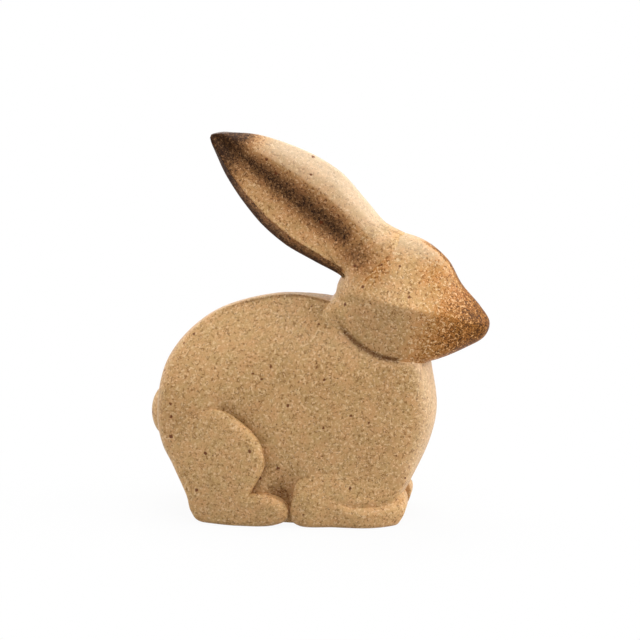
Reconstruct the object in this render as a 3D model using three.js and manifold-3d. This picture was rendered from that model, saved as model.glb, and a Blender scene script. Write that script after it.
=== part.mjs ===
// Crouching rabbit figurine in speckled wood, glued up from carved pieces on hidden dowels.
// Millimetres. +X points to the nose, +Y to the rabbit's left, +Z up.
// The origin lies on the table, under the middle of the figure.
import * as THREE from "three";
import { mergeVertices } from "three/addons/utils/BufferGeometryUtils.js";
import Module from "manifold-3d";

// Joinery
const glueGap = 0.3; // open at every glued face and round every dowel
const dowelChamfer = 0.6;

// Body: its outline in side view, and the flats that the knife leaves on its sides
const bodyHalfWidth = 21.9;
const bodyDome = 70; // radius of the round that runs along the outline
const bodyEdge = 0.9; // how softly the flats meet that round
const bodyBlend = 1.6; // how softly two flats meet
const bellyHeight = 1.2; // the belly clears the table, and the feet carry the figure
const bodyCentre = [-7, 32];
const bodyOutline = [
  [2, 68.4], // nape, under the back of the head
  [-14, 68.8], // top of the back
  [-34, 62.1],
  [-46.7, 48.8],
  [-50, 32], // rump, where the tail sits
  [-47.8, 22.6],
  [-44.6, 16],
  [-41, 7.5],
  [-39.4, 2], // heel
  [-36, -2], // from here to the toe the outline runs under the table and is cut away
  [-7, -9],
  [14, -6],
  [22.6, 0], // toe
  [26, 6],
  [29.6, 13],
  [34.6, 24.4],
  [36.5, 34], // chest
  [35.3, 45],
  [34.2, 50.4], // throat, and from here to the nape the outline runs inside the head
  [31, 53.2],
  [24.7, 55.6],
  [18, 58.6],
  [12.5, 62.4],
  [8, 66.4],
];
const flankStart = [18, 0.2]; // height where the sides start to lean in, and how steeply
const shoulderStart = [41.8, 0.72]; // the same for the steeper flat along the back
const chestStart = [2, 0.26]; // place along X where the sides start to narrow to the chest
const rumpStart = [-30, 0.2]; // the same for the rump
const underStart = [12, 0.12]; // height below which the sides draw in to the table
const neckFlare = 3; // the back widens this much to meet the head
const neckRun = [-8, 8]; // places along X between which it widens
const neckRise = [58, 66]; // heights between which it widens

// Head: outline in side view, and its carved flats
const cheekHalfWidth = 18.6;
const headCentre = [25, 69.08]; // on the cheek ridge
const headOutline = [
  [4.9, 69.6], // nape
  [5.8, 73],
  [8.6, 78],
  [14, 85.4], // crown, under the ears
  [22, 88.8],
  [31.6, 86.8],
  [39.4, 80.8], // brow
  [43.8, 73.3],
  [49.8, 66.5], // bridge of the nose
  [53.2, 61.6], // nose tip
  [51.2, 57.4],
  [45.4, 53.8], // chin
  [36, 50],
  [26, 48.6], // throat, sunk in the body
  [14, 52.2],
  [6, 57.4],
  [1, 63],
  [2.4, 66.8],
];
const cheekRidge = [22, 69.8]; // place on the ridge between the upper and the lower cheek
const cheekFall = 0.24; // how steeply the ridge falls to the nose
const upperCheekLean = 0.58;
const lowerCheekLean = 0.16;
const snoutStart = [21, 0.36]; // place along X where the head starts to narrow, and how steeply
const napeStart = [22, 0.55];
const headTaperBlend = 2; // how softly the head turns from nape to snout
const headBlend = 0.4; // how softly the two cheeks meet
const headEdge = 1.4; // how softly the cheeks meet the round along the outline
const crownDome = 19; // radius of that round at the crown
const jowlDome = 40;
const noseDome = 8;
const crownRise = [60, 68]; // heights between which the round turns from jowl to crown
const noseRun = [30, 50]; // places along X between which it turns to the nose

// Neck dowel, leaning forward from the body into the head
const neckDowelDiameter = 10;
const neckDowelLength = 30;
const neckDowelCentre = [18, 51.5];
const neckDowelLean = 22; // degrees from upright

// Ears: leaf-shaped, laid back, with a gouged hollow between two rims
const earRoot = [13.8, 83];
const earRise = 37; // degrees above the horizontal, towards the tail
const earLength = 58.2;
const earBow = 0.5; // the leaf's middle line rises this far above a straight one
const earRootDepth = 9; // how far the leaf runs on below the root before the head cuts it
const earParting = 0.6; // between the two ears
const earUpperWidths = [
  [-9, 11.6],
  [0, 10.6],
  [10, 12.4],
  [20, 14.1],
  [30, 13.2],
  [40, 10.6],
  [48, 7.5],
  [54, 3.9],
  [58.2, 1.2],
]; // distance from the root, width above the middle line
const earLowerWidths = [
  [-9, 11.4],
  [0, 10.5],
  [10, 12],
  [20, 13.5],
  [30, 13.1],
  [40, 10.7],
  [48, 7.7],
  [54, 4.5],
  [58.2, 1.2],
]; // the same below it
const earRims = [
  [-9, 6.6],
  [0, 7.2],
  [26, 7.4],
  [50, 4.6],
  [58.2, 1.8],
]; // distance from the root, height of the rims
const earLowerRim = -0.68; // place of the lower rim across the leaf, as a share of its width there
const earUpperRim = 0.5;
const earProfile = [
  [-1, 0.45], // lower edge
  [earLowerRim, 1],
  [earLowerRim / 2, 0.71],
  [0, 0.42], // bottom of the hollow
  [earUpperRim / 2, 0.68],
  [earUpperRim, 0.97],
  [0.8, 0.7],
  [1, 0.3], // upper edge
]; // place across the leaf as a share of its width there, height as a share of the rim's
const earHollowRun = [3, 14]; // the hollow starts and reaches its depth at these places
const earRootFill = 0.95; // share of the rim's height where the hollow has not started
const earDowelDiameter = 4;
const earDowelLength = 16;
const earDowelLevel = 0.42; // share of the rim's height at the root
const earMiddle = 0.25; // the same for the middle of the leaf's ends

// Tail: a button let into the rump
const tailHeight = 31;
const tailRadii = [5.4, 7, 8.4];
const tailReach = 53; // rearmost point, behind the origin
const tailDowelDiameter = 5;
const tailDowelLength = 14;

// Haunches: inlaid in the sides of the body, standing proud at the front edge
const haunchSeat = 12.9; // depth of the pocket below the body's half width
const haunchRelief = 2.7;
const haunchEdge = 3.2; // width of the rounded front edge
const haunchCentre = [-29, 20];
const haunchOutline = [
  [-30, 35.4],
  [-22, 32],
  [-15.6, 25.4],
  [-14.6, 18.6],
  [-18.4, 11.4],
  [-26, 7],
  [-35, 6.4],
  [-40.8, 14.5],
  [-42.4, 24],
  [-38, 32.6],
];
const haunchFade = [-40, -19]; // the relief grows from nothing to full between these places
const hipDowelDiameter = 6;
const hipDowelPlace = [-31, 22];

// Hind feet: long blocks under the haunches, flush with them at the heel
const hindFootRelief = 2.2;
const hindFootEdge = 3;
const hindFootCentre = [-24, 3];
const hindFootOutline = [
  [-39.2, 5],
  [-30, 8.6],
  [-19, 10.2],
  [-11.6, 9.4],
  [-7.9, 6],
  [-8.2, 2.4],
  [-12.5, -0.2],
  [-22, -4.6],
  [-32, -3.6],
  [-37.4, 0],
];
const hindFootFade = [-36, -23];
const heelFade = [-16, -20]; // the foot follows the haunch behind these places
const hindFootDowelDiameter = 5;
const hindFootDowelPlace = [-20, 5];

// Front feet: the foot of the leg, and the paw that comes forward from it
const frontFootSeat = 16.9; // depth of the pocket below the body's half width
const frontFootCentre = [11, 5];
const frontFootOutline = [
  [-6.2, 1],
  [-5.4, 7],
  [-4, 14.6],
  [4, 17],
  [15, 15.4],
  [23.6, 12],
  [27.8, 8.9],
  [28.4, 5],
  [26.6, 1],
  [23, -3],
  [16, -5],
  [4, -6],
  [-4, -4],
];
const frontLegRelief = 1.2;
const frontLegEdge = 2.4;
const frontLegRise = [17, 8]; // heights between which the leg's relief grows
const frontLegRun = [10, -2]; // places along X between which it grows
const pawRelief = 1.8;
const pawTop = [
  [4, 9.2],
  [8.2, 7.7],
  [12.3, 6.2],
  [20.6, 6.6],
  [27.3, 8.4],
]; // place along X, height of the paw's upper edge
const pawBevel = 3;
const pawRun = [6, 14]; // places along X between which the paw grows out of the leg
const pawStandOut = 0.3;
const pawTip = 11; // half width at the tip
const pawTipRun = [8, 18];
const pawRound = 8;
const leastThickness = 1; // of a haunch or a foot over its seat
const frontFootDowelDiameter = 5;
const frontFootDowelPlace = [9, 6];
const dowelBite = 5; // how far a cross dowel enters a haunch or a foot

// Fineness of the meshes
const bodySteps = [72, 10];
const headSteps = [80, 10];
const inlaySteps = 44;
const inlayRings = [1, 0.94, 0.87, 0.76, 0.6, 0.35, 0];
const dowelSteps = 20;
const earStations = 18;

const wasm = await Module();
wasm.setup();

// A closed geometry as a solid that can be joined and cut.
function solid(geometry) {
  const bare = geometry.clone();
  bare.deleteAttribute("normal");
  bare.deleteAttribute("uv");
  const merged = mergeVertices(bare, 1e-4);
  return new wasm.Manifold(
    new wasm.Mesh({
      numProp: 3,
      vertProperties: merged.getAttribute("position").array,
      triVerts: new Uint32Array(merged.index.array),
    }),
  );
}

function geometryOf(body) {
  const mesh = body.getMesh();
  const geometry = new THREE.BufferGeometry();
  geometry.setAttribute("position", new THREE.BufferAttribute(mesh.vertProperties, 3));
  geometry.setIndex(new THREE.BufferAttribute(mesh.triVerts, 1));
  geometry.computeVertexNormals();
  return geometry;
}

// The same geometry on the other side of the XZ plane, its faces turned to point outwards again.
function mirrored(geometry) {
  const other = geometry.clone().scale(1, -1, 1);
  const index = other.index.array;
  for (let i = 0; i < index.length; i += 3) {
    [index[i + 1], index[i + 2]] = [index[i + 2], index[i + 1]];
  }
  return other;
}

const clamp01 = (value) => Math.min(1, Math.max(0, value));

// 0 at the first place, 1 at the second, smooth between them. The places may run either way.
function fade(value, [from, to]) {
  const t = clamp01((value - from) / (to - from));
  return t * t * (3 - 2 * t);
}

// Quarter-round step: 0 at the edge, 1 from one radius inwards.
function rise(share) {
  const t = clamp01(share);
  return Math.sqrt(1 - (1 - t) * (1 - t));
}

// The lowest of several flats, with the edges between them softened.
function softLowest(flats, softness) {
  const sum = flats.reduce((total, flat) => total + Math.exp(-flat / softness), 0);
  return -softness * Math.log(sum);
}

// Half width of the round that runs along an outline, at a distance inside it.
function dome(inset, radius) {
  const inside = Math.min(radius, Math.max(0, inset));
  return Math.sqrt(inside * (2 * radius - inside));
}

// Value at a place on a smooth line through a few stations.
function along(stations, place) {
  const curve = new THREE.SplineCurve(stations.map(([at, value]) => new THREE.Vector2(at, value)));
  let low = 0;
  let high = 1;
  for (let i = 0; i < 40; i++) {
    const middle = (low + high) / 2;
    if (curve.getPoint(middle).x < place) low = middle;
    else high = middle;
  }
  return curve.getPoint((low + high) / 2).y;
}

const squareRun = [0.3, 0.9]; // shares of the way to the edge between which its lean comes in

// A closed smooth outline in the XZ plane, measured from a centre that sees all of it.
class Outline {
  constructor(centre, points) {
    this.centre = centre;
    const [cx, cz] = centre;
    const knots = points.map(([x, z]) => new THREE.Vector3(x - cx, 0, z - cz));
    const curve = new THREE.CatmullRomCurve3(knots, true, "centripetal");
    this.edge = curve
      .getPoints(24 * points.length)
      .slice(1)
      .map((p) => [Math.atan2(p.z, p.x), Math.hypot(p.x, p.z)])
      .sort((a, b) => a[0] - b[0]);
  }

  // Distance from the centre to the edge in one direction.
  reach(turn) {
    const full = 2 * Math.PI;
    const angle = turn - full * Math.floor((turn + Math.PI) / full);
    const after = this.edge.findIndex(([a]) => a >= angle);
    const b = this.edge[after < 0 ? 0 : after];
    const a = this.edge[(after < 0 ? this.edge.length : after || this.edge.length) - 1];
    const span = (b[0] - a[0] + full) % full || full;
    const t = ((angle - a[0] + full) % full) / span;
    return a[1] + (b[1] - a[1]) * t;
  }

  // How far a place lies inside the edge, measured square to it near the edge.
  inset(x, z) {
    const dx = x - this.centre[0];
    const dz = z - this.centre[1];
    const turn = Math.atan2(dz, dx);
    const step = 0.02;
    const lean = Math.log(this.reach(turn + step) / this.reach(turn - step)) / (2 * step);
    const reach = this.reach(turn);
    const distance = Math.hypot(dx, dz);
    const slant = (1 - 1 / Math.hypot(1, lean)) * fade(distance / reach, squareRun);
    return (reach - distance) * (1 - slant);
  }
}

// A ball drawn out to an outline. Each ring of the ball lies at a share of the outline, and its
// Y comes from the ring's own face. Rings run from the +Y pole to the -Y pole. A growth moves
// the rings out without changing their faces.
function drawnOut(outline, around, rings, growth = 0) {
  const ball = new THREE.SphereGeometry(1, around, rings.length - 1);
  const position = ball.getAttribute("position");
  const [cx, cz] = outline.centre;
  for (let i = 0; i < position.count; i++) {
    const { share, face } = rings[Math.floor(i / (around + 1))];
    const turn = Math.atan2(position.getZ(i), position.getX(i));
    const reach = outline.reach(turn);
    const place = (distance) => [cx + Math.cos(turn) * distance, cz + Math.sin(turn) * distance];
    const [x, z] = place((reach + growth) * share);
    position.setXYZ(i, x, face(...place(reach * share), reach * (1 - share)), z);
  }
  return ball;
}

// A carved blank, alike on both sides, with its half width as given. Its rings crowd to the rim.
function blank(outline, halfWidth, [around, count], growth = 0) {
  const rings = [];
  for (let ring = -count; ring <= count; ring++) {
    const side = Math.sign(-ring);
    const face = (x, z) => (side ? side * (halfWidth(x, z) + growth) : 0);
    rings.push({ share: 1 - (ring / count) ** 2, face });
  }
  return drawnOut(outline, around, rings, growth);
}

// A piece let into the right side of the body: flat at its seat, its outer face as given.
function inlay(outline, seat, outerFace) {
  const flat = (share) => ({ share, face: () => -seat });
  const face = (x, z, inset) => -Math.max(outerFace(x, z, inset), seat + leastThickness);
  const outer = inlayRings.map((share) => ({ share, face }));
  return drawnOut(outline, inlaySteps, [flat(0), flat(1), ...outer]);
}

// The pocket that such a piece sits in, open to the right.
function pocket(outline, seat) {
  const wall = (share, y) => ({ share, face: () => -y });
  const floor = seat - glueGap;
  const open = 2 * bodyHalfWidth;
  const rings = [wall(0, floor), wall(1, floor), wall(1, open), wall(0, open)];
  return drawnOut(outline, inlaySteps, rings, glueGap);
}

// A round bar along Y with chamfered ends. A growth makes the hole for it.
function bar(diameter, length, growth = 0) {
  const radius = diameter / 2 + growth;
  const half = length / 2 + growth;
  const profile = [
    [0, -half],
    [radius - dowelChamfer, -half],
    [radius, dowelChamfer - half],
    [radius, half - dowelChamfer],
    [radius - dowelChamfer, half],
    [0, half],
  ];
  return new THREE.LatheGeometry(
    profile.map(([r, y]) => new THREE.Vector2(r, y)),
    dowelSteps,
  );
}

// A box over everything on one side of a height.
function slab(bottom, top) {
  const reach = 8 * bodyHalfWidth;
  return new THREE.BoxGeometry(reach, reach, top - bottom).translate(0, 0, (top + bottom) / 2);
}

const tableCut = solid(slab(-2 * bodyHalfWidth, 0));
const bellyCut = solid(slab(-2 * bodyHalfWidth, bellyHeight));

// Body
const bodyShape = new Outline(bodyCentre, bodyOutline);

// Half width of the flats, before the outline cuts them off.
function bodyFlats(x, z) {
  const flare = neckFlare * fade(x, neckRun) * fade(z, neckRise);
  const leans = [
    0,
    (z - flankStart[0]) * flankStart[1],
    (z - shoulderStart[0]) * shoulderStart[1] - flare,
    (x - chestStart[0]) * chestStart[1],
    (rumpStart[0] - x) * rumpStart[1],
    (underStart[0] - z) * underStart[1],
  ];
  return softLowest(
    leans.map((lean) => bodyHalfWidth - lean),
    bodyBlend,
  );
}

// Half width of the finished body at a place in side view.
function bodyForm(x, z) {
  return softLowest([bodyFlats(x, z), dome(bodyShape.inset(x, z), bodyDome)], bodyEdge);
}

// Head
const headShape = new Outline(headCentre, headOutline);

// Half width of the finished head at a place in side view.
function headForm(x, z) {
  const ends = [0, (x - snoutStart[0]) * snoutStart[1], (napeStart[0] - x) * napeStart[1]];
  const taper = softLowest(
    ends.map((lean) => cheekHalfWidth - lean),
    headTaperBlend,
  );
  const ridge = cheekRidge[1] - (x - cheekRidge[0]) * cheekFall;
  const cheeks = [taper - (z - ridge) * upperCheekLean, taper - (ridge - z) * lowerCheekLean];
  const round = jowlDome + (crownDome - jowlDome) * fade(z, crownRise);
  const radius = round + (noseDome - round) * fade(x, noseRun);
  return softLowest([softLowest(cheeks, headBlend), dome(headShape.inset(x, z), radius)], headEdge);
}

const headBlank = (growth) => solid(blank(headShape, headForm, headSteps, growth));

// Neck dowel
function neckBar(growth) {
  const lean = THREE.MathUtils.degToRad(neckDowelLean);
  return bar(neckDowelDiameter, neckDowelLength, growth)
    .rotateX(Math.PI / 2)
    .rotateY(lean)
    .translate(neckDowelCentre[0], 0, neckDowelCentre[1]);
}

// Ears, made for the right side in a frame along the leaf: X to the tip, Y sideways, Z across it
const toEarPlace = new THREE.Matrix4()
  .makeTranslation(earRoot[0], 0, earRoot[1])
  .multiply(new THREE.Matrix4().makeRotationY(THREE.MathUtils.degToRad(earRise) - Math.PI));

// Height of the ear's outer face over the parting plane, at one point of its profile.
function earFace(place, [share, height]) {
  const scooped = share > earLowerRim && share < earUpperRim;
  const filled = scooped ? earRootFill + (height - earRootFill) * fade(place, earHollowRun) : height;
  return along(earRims, place) * filled;
}

// The leaf's section as a loop: across the outer face, then back along the parting plane.
const earBack = [0.86, 0.4, -0.4, -0.86];

function earLeaf() {
  const loop = earProfile.length + earBack.length;
  const rod = new THREE.CylinderGeometry(1, 1, 1, loop, earStations);
  const position = rod.getAttribute("position");
  for (let i = 0; i < position.count; i++) {
    const middle = Math.hypot(position.getX(i), position.getZ(i)) < 0.5;
    const step = 0.5 + position.getY(i);
    const place = -earRootDepth + (earLength + earRootDepth) * Math.sin((step * Math.PI) / 2);
    const turn = Math.atan2(position.getX(i), position.getZ(i)) / (2 * Math.PI);
    const k = Math.round(((turn + 1) % 1) * loop) % loop;
    const onFace = k < earProfile.length;
    const share = middle ? 0 : onFace ? earProfile[k][0] : earBack[k - earProfile.length];
    const height = middle ? along(earRims, place) * earMiddle : onFace ? earFace(place, earProfile[k]) : 0;
    const width = along(share < 0 ? earLowerWidths : earUpperWidths, place);
    const bow = earBow * Math.sin((Math.PI * Math.max(0, place)) / earLength);
    position.setXYZ(i, place, -earParting / 2 - height, -share * width - bow);
  }
  return rod.applyMatrix4(toEarPlace);
}

function earBar(growth) {
  const middle = -earParting / 2 - along(earRims, 0) * earDowelLevel;
  return bar(earDowelDiameter, earDowelLength, growth)
    .rotateZ(Math.PI / 2)
    .translate(0, middle, 0)
    .applyMatrix4(toEarPlace);
}

// Tail
function tailButton(growth) {
  const [rx, ry, rz] = tailRadii.map((radius) => radius + growth);
  return new THREE.SphereGeometry(1, 24, 16)
    .scale(rx, ry, rz)
    .translate(tailRadii[0] - tailReach, 0, tailHeight);
}

function tailBar(growth) {
  return bar(tailDowelDiameter, tailDowelLength, growth)
    .rotateZ(Math.PI / 2)
    .translate(2 * tailRadii[0] - tailReach, 0, tailHeight);
}

// Haunches, hind feet and front feet
const haunchShape = new Outline(haunchCentre, haunchOutline);
const hindFootShape = new Outline(hindFootCentre, hindFootOutline);
const frontFootShape = new Outline(frontFootCentre, frontFootOutline);
const legSeat = bodyHalfWidth - haunchSeat;
const pawSeat = bodyHalfWidth - frontFootSeat;

function haunchFace(x, z, inset) {
  return bodyForm(x, z) + haunchRelief * fade(x, haunchFade) * rise(inset / haunchEdge);
}

function hindFootFace(x, z, inset) {
  const toe = bodyForm(x, z) + hindFootRelief * fade(x, hindFootFade) * rise(inset / hindFootEdge);
  const heel = haunchFace(x, z, haunchShape.inset(x, z)) * fade(x, heelFade);
  return Math.max(toe, heel);
}

function frontFootFace(x, z, inset) {
  const leg = frontLegRelief * fade(z, frontLegRise) * fade(x, frontLegRun) * rise(inset / frontLegEdge);
  const paw = pawRelief * rise((along(pawTop, x) - z) / pawBevel) * fade(x, pawRun);
  const side = bodyFlats(x, z) + pawStandOut;
  const tip = pawTip + (side - pawTip) * rise(inset / pawRound);
  const form = Math.max(bodyForm(x, z), side + (tip - side) * fade(x, pawTipRun));
  return form + leg + paw;
}

// A dowel across the body that carries a piece on either side.
function crossBar(diameter, [x, z], seat, growth) {
  return bar(diameter, 2 * (seat + dowelBite), growth).translate(x, 0, z);
}

const hipBar = (growth) => crossBar(hipDowelDiameter, hipDowelPlace, legSeat, growth);
const hindFootBar = (growth) => crossBar(hindFootDowelDiameter, hindFootDowelPlace, legSeat, growth);
const frontFootBar = (growth) => crossBar(frontFootDowelDiameter, frontFootDowelPlace, pawSeat, growth);

// Each piece is its blank less what it makes room for.
function cut(piece, ...rooms) {
  return rooms.reduce((left, room) => left.subtract(room), piece);
}

const holes = {
  neck: solid(neckBar(glueGap)),
  tail: solid(tailBar(glueGap)),
  hip: solid(hipBar(glueGap)),
  hindFoot: solid(hindFootBar(glueGap)),
  frontFoot: solid(frontFootBar(glueGap)),
  rightEar: solid(earBar(glueGap)),
  leftEar: solid(mirrored(earBar(glueGap))),
};
const headSeat = headBlank(glueGap);
const hindFootPocket = pocket(hindFootShape, legSeat);
const pockets = [
  pocket(haunchShape, legSeat),
  hindFootPocket,
  pocket(frontFootShape, pawSeat),
].flatMap((room) => [solid(room), solid(mirrored(room))]);

const body = cut(
  solid(blank(bodyShape, bodyForm, bodySteps)),
  bellyCut,
  headSeat,
  solid(tailButton(glueGap)),
  ...pockets,
  holes.neck,
  holes.tail,
  holes.hip,
  holes.hindFoot,
  holes.frontFoot,
);
const head = cut(headBlank(0), holes.neck, holes.rightEar, holes.leftEar);
const ear = cut(solid(earLeaf()), headSeat, holes.rightEar);
const tail = cut(solid(tailButton(0)), holes.tail);
const haunch = cut(
  solid(inlay(haunchShape, legSeat, haunchFace)),
  solid(hindFootPocket),
  holes.hip,
);
const hindFoot = cut(
  solid(inlay(hindFootShape, legSeat, hindFootFace)),
  tableCut,
  holes.hindFoot,
);
const frontFoot = cut(
  solid(inlay(frontFootShape, pawSeat, frontFootFace)),
  tableCut,
  holes.frontFoot,
);

// Finishes
const speckledWood = new THREE.MeshStandardMaterial({ color: 0xc0986a, roughness: 0.62, metalness: 0 });
const stainedWood = new THREE.MeshStandardMaterial({ color: 0x8a6340, roughness: 0.55, metalness: 0 });
const dowelWood = new THREE.MeshStandardMaterial({ color: 0xd9bd92, roughness: 0.7, metalness: 0 });

const rabbit = new THREE.Group();

function add(name, geometry, material) {
  const mesh = new THREE.Mesh(geometry, material);
  mesh.name = name;
  rabbit.add(mesh);
}

function addPair(name, geometry, material) {
  add(`right_${name}`, geometry, material);
  add(`left_${name}`, mirrored(geometry), material);
}

add("body", geometryOf(body), speckledWood);
add("head", geometryOf(head), speckledWood);
add("tail", geometryOf(tail), speckledWood);
addPair("ear", geometryOf(ear), stainedWood);
addPair("haunch", geometryOf(haunch), speckledWood);
addPair("hind_foot", geometryOf(hindFoot), speckledWood);
addPair("front_foot", geometryOf(frontFoot), speckledWood);
add("neck_dowel", neckBar(0), dowelWood);
add("tail_dowel", tailBar(0), dowelWood);
addPair("ear_dowel", earBar(0), dowelWood);
add("hip_dowel", hipBar(0), dowelWood);
add("hind_foot_dowel", hindFootBar(0), dowelWood);
add("front_foot_dowel", frontFootBar(0), dowelWood);

export default rabbit;
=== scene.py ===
import math

import bmesh
import bpy
import numpy as np
from mathutils import Matrix, Vector


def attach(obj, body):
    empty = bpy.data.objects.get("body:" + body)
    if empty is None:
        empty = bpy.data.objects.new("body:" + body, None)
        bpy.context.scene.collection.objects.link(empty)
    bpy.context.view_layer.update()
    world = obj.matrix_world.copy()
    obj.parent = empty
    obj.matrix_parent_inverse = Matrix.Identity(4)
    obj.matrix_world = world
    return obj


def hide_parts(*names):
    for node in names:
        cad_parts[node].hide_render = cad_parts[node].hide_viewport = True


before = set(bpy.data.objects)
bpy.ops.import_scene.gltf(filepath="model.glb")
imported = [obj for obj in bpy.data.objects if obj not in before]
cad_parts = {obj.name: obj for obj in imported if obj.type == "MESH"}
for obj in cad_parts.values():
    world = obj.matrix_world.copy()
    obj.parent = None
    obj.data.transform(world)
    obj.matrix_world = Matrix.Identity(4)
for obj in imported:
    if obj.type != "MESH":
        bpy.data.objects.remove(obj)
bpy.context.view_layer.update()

# Body: one block of speckled wood, sawn to a side-view template, its sides carved in soft flats.
# Templates are in millimetres, (forward, up), as on a carver's bench; the scene itself is in metres.
# Creases are cut into it under the cheek and before the haunch, and a pocket behind the foreleg.
MM = 0.001
BODY_GRID = (320, 160)
BODY_CENTRE = (-7, 32)
BODY_TEMPLATE = (
    (2, 68.4), (-14, 68.8), (-34, 62.1), (-46.7, 48.8), (-50, 32), (-48.3, 22.6), (-45, 16), (-41, 7.5),
    (-39.4, 2), (-36, -2), (-7, -9), (14, -6), (22.6, 0), (26, 6), (29.6, 13), (34.6, 24.4), (36.5, 34),
    (35.1, 45), (33.8, 50.4), (31, 53.2), (24.7, 55.6), (18, 58.6), (12.5, 62.4), (8, 66.4),
)
BODY_HALF_WIDTH = 21.9 * MM
BODY_DOME = 70 * MM
BELLY_HEIGHT = 1.2 * MM

# Each flat leans in from a height, or from a place along the figure, by a share of the distance past it.
UPPER_SIDE_FLAT = (18 * MM, 0.2)
SHOULDER_FLAT = (51 * MM, 0.72)
SHOULDER_STEP = 6.6 * MM
BACK_NARROWING = (-12 * MM, -0.16)
CHEST_FLAT = (2 * MM, 0.26)
RUMP_FLAT = (-30 * MM, -0.2)
UNDER_FLAT = (12 * MM, -0.12)
BODY_FLATS_BLEND = 1.6 * MM

# Each region fades in over a stretch along the figure and a stretch up it. A stretch is (from, to),
# in millimetres, and so are the starts, depths, heights and half widths further on.
NECK_REGION = ((-8, 8), (58, 66))
NECK_SWELL = 3 * MM
CHEST_REGION = ((8, 30), (14, 24))
RUMP_REGION = ((-28, -44), (8, 20))
BODY_EDGE = 0.9 * MM
CHEST_EDGE = 4.5 * MM
RUMP_EDGE_SHARE = 0.6

CHEEK_CREASE = ((6, 63.6), (8, 60.2), (10, 58.2), (12, 56.7), (16, 54.2), (20, 52.6), (25, 51.7))
CHEEK_CREASE_DEPTH = 0.5 * MM
CHEEK_CREASE_WIDTH = 1.4 * MM
HAUNCH_CREASE = ((-27.5, 35.6), (-22, 32), (-15.6, 25.4), (-14.4, 18.6), (-18, 11.4))
HAUNCH_CREASE_DEPTH = 1.2 * MM
HAUNCH_CREASE_WIDTH = 2.8 * MM
POCKET_PLACE = (-9.5, 9)
POCKET_SIZE = (5.5, 7)
POCKET_DEPTH = 3.0 * MM
CUT_HALF_WIDTHS = (4, 12)

# Grime and painted shade: dark colour in the crease under the cheek, where the head is glued on.
CHEEK_GRIME_AND_SHADE = 0.92
CHEEK_GRIME_AND_SHADE_START = (6, 10)
CHEEK_GRIME_AND_SHADE_WIDTH = 0.9 * MM
# Painted shade: dark colour along the crease before the haunch.
HAUNCH_CREASE_SHADE = 0.38
HAUNCH_CREASE_SHADE_WIDTH = 1.6 * MM
# Painted shade: dark colour in the pocket behind the foreleg.
POCKET_SHADE = 0.62
POCKET_SHADE_SIZE = (4, 5)
# A dark line painted just under the edge of the back, and painted shade on the strip above it.
BACK_LINE_DARK = 0.6
BACK_LINE_DROP = 0.4 * MM
BACK_LINE_WIDTH = 0.35 * MM
BACK_LINE_START = (-35, -22)
BACK_STRIP_SHADE = 0.18
BACK_STRIP_DEPTHS = (0.5, -0.2)
BACK_DARK_SLANT = (-20, -60)
BACK_DARK_HEIGHTS = (40, 50)
# Painted shade: a dark patch on the body under the nape of the head.
NAPE_SHADE = 0.35
NAPE_PLACE = (3, 65.5)
NAPE_SIZE = (6, 3.5)
# Painted shade: the middle of the sides darker than the shoulders.
MIDDLE_SHADE = 0.08
MIDDLE_SHADE_HEIGHTS = (60, 48)
# Painted highlight: pale colour along the edge of the chest.
CHEST_HIGHLIGHT = 0.22
CHEST_HIGHLIGHT_DEPTHS = (6, 1)
CHEST_HIGHLIGHT_REGION = ((22, 30), (12, 20))

OLIVE_TAN = (0.57, 0.355, 0.145)
WARM_TAN = (0.62, 0.345, 0.145)
PALE_FIBRE = (0.9, 0.67, 0.41)
DARK_FIBRE = (0.25, 0.115, 0.03)
# Painted highlight: the pale colour laid on edges that catch the light.
HIGHLIGHT_PALE = (0.72, 0.6, 0.46)
# Painted shade, with some grime in the cheek crease: the dark brown laid in creases and shaded places.
SHADE_AND_GRIME_BROWN = (0.105, 0.037, 0.011)
SPECK_BROWN = (0.105, 0.04, 0.005)
SPECK_RED = (0.13, 0.03, 0.006)
PALE_FIBRES = {"per_mm": 1.75, "offset": (11, 5, 2), "width": 0.14}
DARK_FIBRES = {"per_mm": 1.6, "offset": (2, 17, 8), "width": 0.13}
DARK_SPECKS = {"per_mm": 1.0, "offset": (0, 0, 0), "radius": 0.44, "share": 0.42, "softness": 0.2}
LARGE_SPECKS = {"per_mm": 0.36, "offset": (7, 3, 5), "radius": 0.255, "share": 0.3, "softness": 0.06}

# A stain has the colours of its glaze, of its deep parts and of its blackest, and a patchiness.
NO_STAIN = ((1, 1, 1), (1, 1, 1), (1, 1, 1), 0)


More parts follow.
